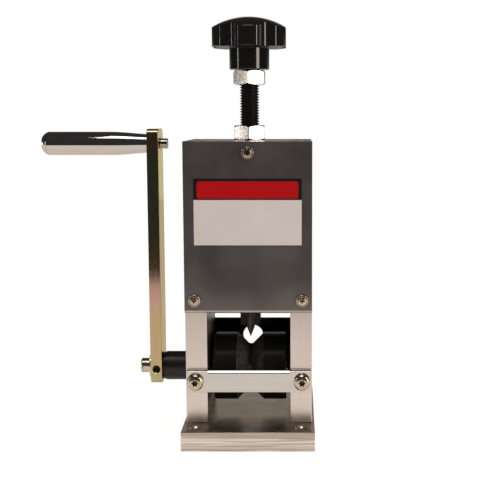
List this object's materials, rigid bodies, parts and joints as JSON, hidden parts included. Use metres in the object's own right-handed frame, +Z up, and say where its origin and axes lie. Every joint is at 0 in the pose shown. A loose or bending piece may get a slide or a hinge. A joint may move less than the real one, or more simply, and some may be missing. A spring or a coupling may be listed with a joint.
{
  "type": "cable stripping machine",
  "caption": "Hand-cranked bench-top cable stripper: a grooved feed roller under a disc blade that a star knob on a threaded rod lowers, between side plates on a base.",
  "frame": {"origin": "centre of the base plate's underside, which rests on the bench", "axes": "+Z up along the threaded rod, +X to the right seen from the front with the crank on the -X side, +Y towards the rear; cable runs along Y"},
  "size_m": [0.1541, 0.092, 0.2362],
  "materials": {
    "sawn_aluminium": "saw-cut face with fine horizontal lines, satin",
    "brushed_aluminium": "brushed along its length, satin",
    "dark_stainless": "polished sheet, reflects dark surroundings",
    "bright_zinc": "bright zinc plate",
    "black_oxide_steel": "black oxide, satin",
    "ground_steel": "ground",
    "blade_steel": "hardened steel, ground edge",
    "bronze": "sintered bronze",
    "yellow_zinc": "yellow iridescent zinc plate",
    "chrome": "polished chrome",
    "black_plastic": "moulded, glossy",
    "blank_label": "blank printed label, satin"
  },
  "bodies": {
    "frame": {"base_plate": "sawn_aluminium", "left_side_plate": "brushed_aluminium", "right_side_plate": "brushed_aluminium", "top_plate": "brushed_aluminium", "front_cover": "dark_stainless", "rear_cover": "dark_stainless", "front_bar": "bright_zinc", "bar_screw_left": "bright_zinc", "bar_screw_right": "bright_zinc", "guide_screw_left": "bright_zinc", "guide_screw_right": "bright_zinc", "cover_screw_left": "bright_zinc", "cover_screw_right": "bright_zinc", "cover_screw_top": "bright_zinc", "rear_cover_screw_left": "bright_zinc", "rear_cover_screw_right": "bright_zinc", "rear_cover_screw_top": "bright_zinc", "top_screw_front_left": "bright_zinc", "top_screw_front_right": "bright_zinc", "top_screw_rear_left": "bright_zinc", "top_screw_rear_right": "bright_zinc", "rear_guide_plate": "black_oxide_steel", "base_screw_front_left": "black_oxide_steel", "base_screw_front_right": "black_oxide_steel", "base_screw_rear_left": "black_oxide_steel", "base_screw_rear_right": "black_oxide_steel", "left_bush": "bronze", "right_bush": "bronze", "blank_label": "blank_label"},
    "drive": {"drive_shaft": "ground_steel", "shaft_collar": "black_oxide_steel", "feed_roller": "black_oxide_steel", "roller_set_screw": "black_oxide_steel", "crank_arm": "yellow_zinc", "crank_set_screw": "black_oxide_steel", "crank_washer": "bright_zinc", "crank_cap_screw": "bright_zinc", "handle_spindle": "chrome"},
    "handle": {"handle_sleeve": "chrome"},
    "carrier": {"blade_carrier": "black_oxide_steel", "blade_axle": "ground_steel", "screw_retaining_pin": "ground_steel"},
    "blade": {"blade_disc": "blade_steel"},
    "adjuster": {"adjusting_screw": "black_oxide_steel", "star_knob": "black_plastic", "upper_lock_nut": "bright_zinc"},
    "lock_nut": {"lower_lock_nut": "bright_zinc"}
  },
  "joints": [
    {"name": "crank_turn", "type": "hinge", "parent": "frame", "child": "drive", "pos_m": [0, -0.002, 0.0371], "axis": [1, 0, 0], "continuous": true},
    {"name": "handle_spin", "type": "hinge", "parent": "drive", "child": "handle", "pos_m": [-0.0572, -0.002, 0.1658], "axis": [1, 0, 0], "continuous": true},
    {"name": "blade_lift", "type": "slide", "parent": "frame", "child": "carrier", "axis": [0, 0, 1], "range_m": [-0.003, 0.018]},
    {"name": "knob_turn", "type": "hinge", "parent": "carrier", "child": "adjuster", "pos_m": [0, -0.002, 0.1129], "axis": [0, 0, 1], "range_deg": [-720, 4320]},
    {"name": "blade_spin", "type": "hinge", "parent": "carrier", "child": "blade", "pos_m": [0, -0.002, 0.0677], "axis": [1, 0, 0], "continuous": true},
    {"name": "lock_nut_turn", "type": "hinge", "parent": "frame", "child": "lock_nut", "pos_m": [0, -0.002, 0.168], "axis": [0, 0, 1], "range_deg": [0, 180]}
  ],
  "couplings": [
    {"joint": "knob_turn", "follows": "blade_lift", "rad_per_m": 4188.8}
  ]
}
